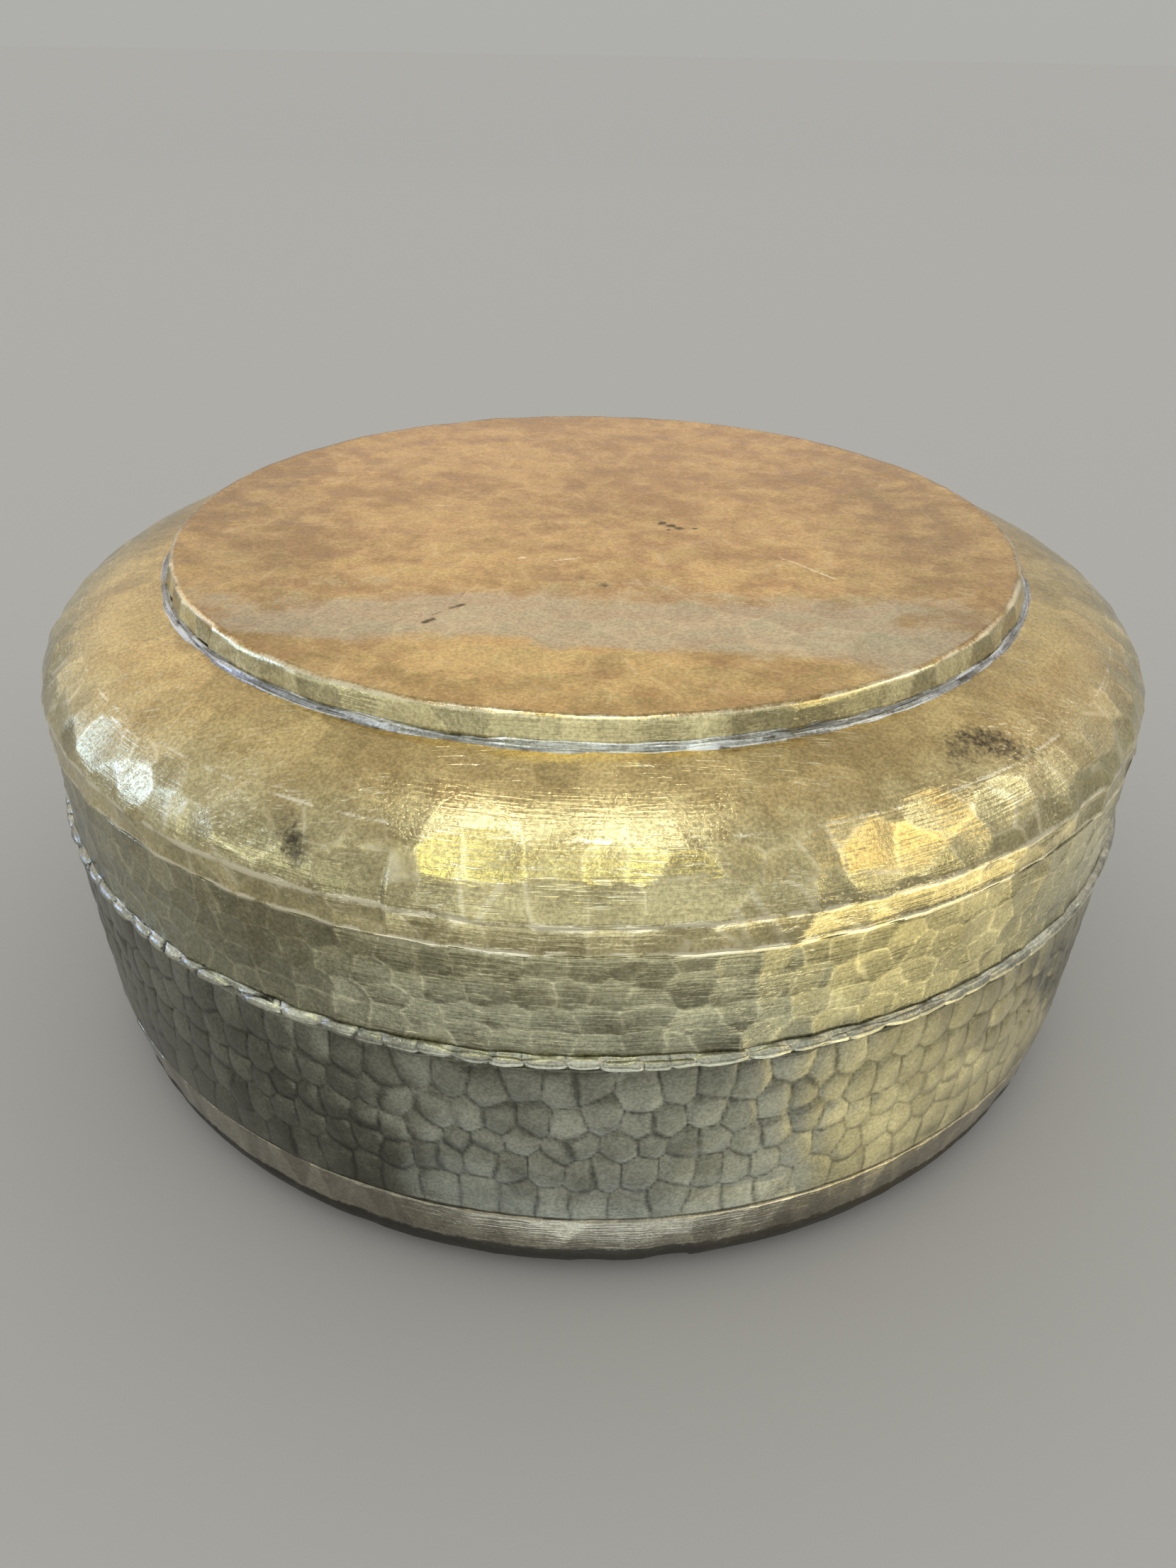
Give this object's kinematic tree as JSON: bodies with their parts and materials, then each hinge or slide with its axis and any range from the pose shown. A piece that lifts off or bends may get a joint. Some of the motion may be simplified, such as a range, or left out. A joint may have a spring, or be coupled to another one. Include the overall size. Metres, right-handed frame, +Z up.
{
  "type": "tiffin box",
  "caption": "Round hammered brass food box: a drum-shaped base with a ledge and neck, a domed lift-off lid with a raised disc, and loose food bowls inside.",
  "frame": {"origin": "centre of the flat face the box stands on", "axes": "+Z up, along the box's axis; the box is round, so +X and +Y are set only by the four bowls inside, which stand on the diagonals between them"},
  "size_m": [0.292, 0.292, 0.13],
  "materials": {
    "lid_brass": "hand hammered, handled bright on the crests, brown in the hollows",
    "base_brass": "hand hammered, tarnished olive grey, dark between the hammer marks",
    "inner_brass": "turned, dull",
    "bowl_brass": "turned and lightly hammered, satin",
    "braze": "rough braze fillet",
    "solder": "uneven grey solder"
  },
  "bodies": {
    "base": {"base_rim_bead": "base_brass", "base_neck_collar": "inner_brass", "neck_braze": "braze", "base_wall": "base_brass", "base_inner_braze": "braze", "base_bottom_pan": "base_brass"},
    "lid": {"lid_top_disc": "lid_brass", "lid_solder_seam": "solder", "lid_shoulder": "lid_brass", "lid_wall": "lid_brass", "lid_inner_braze": "braze"},
    "first_bowl": {"bowl_1": "bowl_brass"},
    "second_bowl": {"bowl_2": "bowl_brass"},
    "third_bowl": {"bowl_3": "bowl_brass"},
    "fourth_bowl": {"bowl_4": "bowl_brass"}
  },
  "joints": [
    {"name": "lid_lift", "type": "slide", "parent": "base", "child": "lid", "axis": [0, 0, 1], "range_m": [0, 0.3]},
    {"name": "bowl_1_lift", "type": "slide", "parent": "base", "child": "first_bowl", "axis": [0, 0, 1], "range_m": [0, 0.135]},
    {"name": "bowl_2_lift", "type": "slide", "parent": "base", "child": "second_bowl", "axis": [0, 0, 1], "range_m": [0, 0.135]},
    {"name": "bowl_3_lift", "type": "slide", "parent": "base", "child": "third_bowl", "axis": [0, 0, 1], "range_m": [0, 0.135]},
    {"name": "bowl_4_lift", "type": "slide", "parent": "base", "child": "fourth_bowl", "axis": [0, 0, 1], "range_m": [0, 0.135]}
  ],
  "couplings": [
    {"joint": "bowl_1_lift", "follows": "lid_lift", "ratio": 0.45},
    {"joint": "bowl_2_lift", "follows": "lid_lift", "ratio": 0.45},
    {"joint": "bowl_3_lift", "follows": "lid_lift", "ratio": 0.45},
    {"joint": "bowl_4_lift", "follows": "lid_lift", "ratio": 0.45}
  ]
}
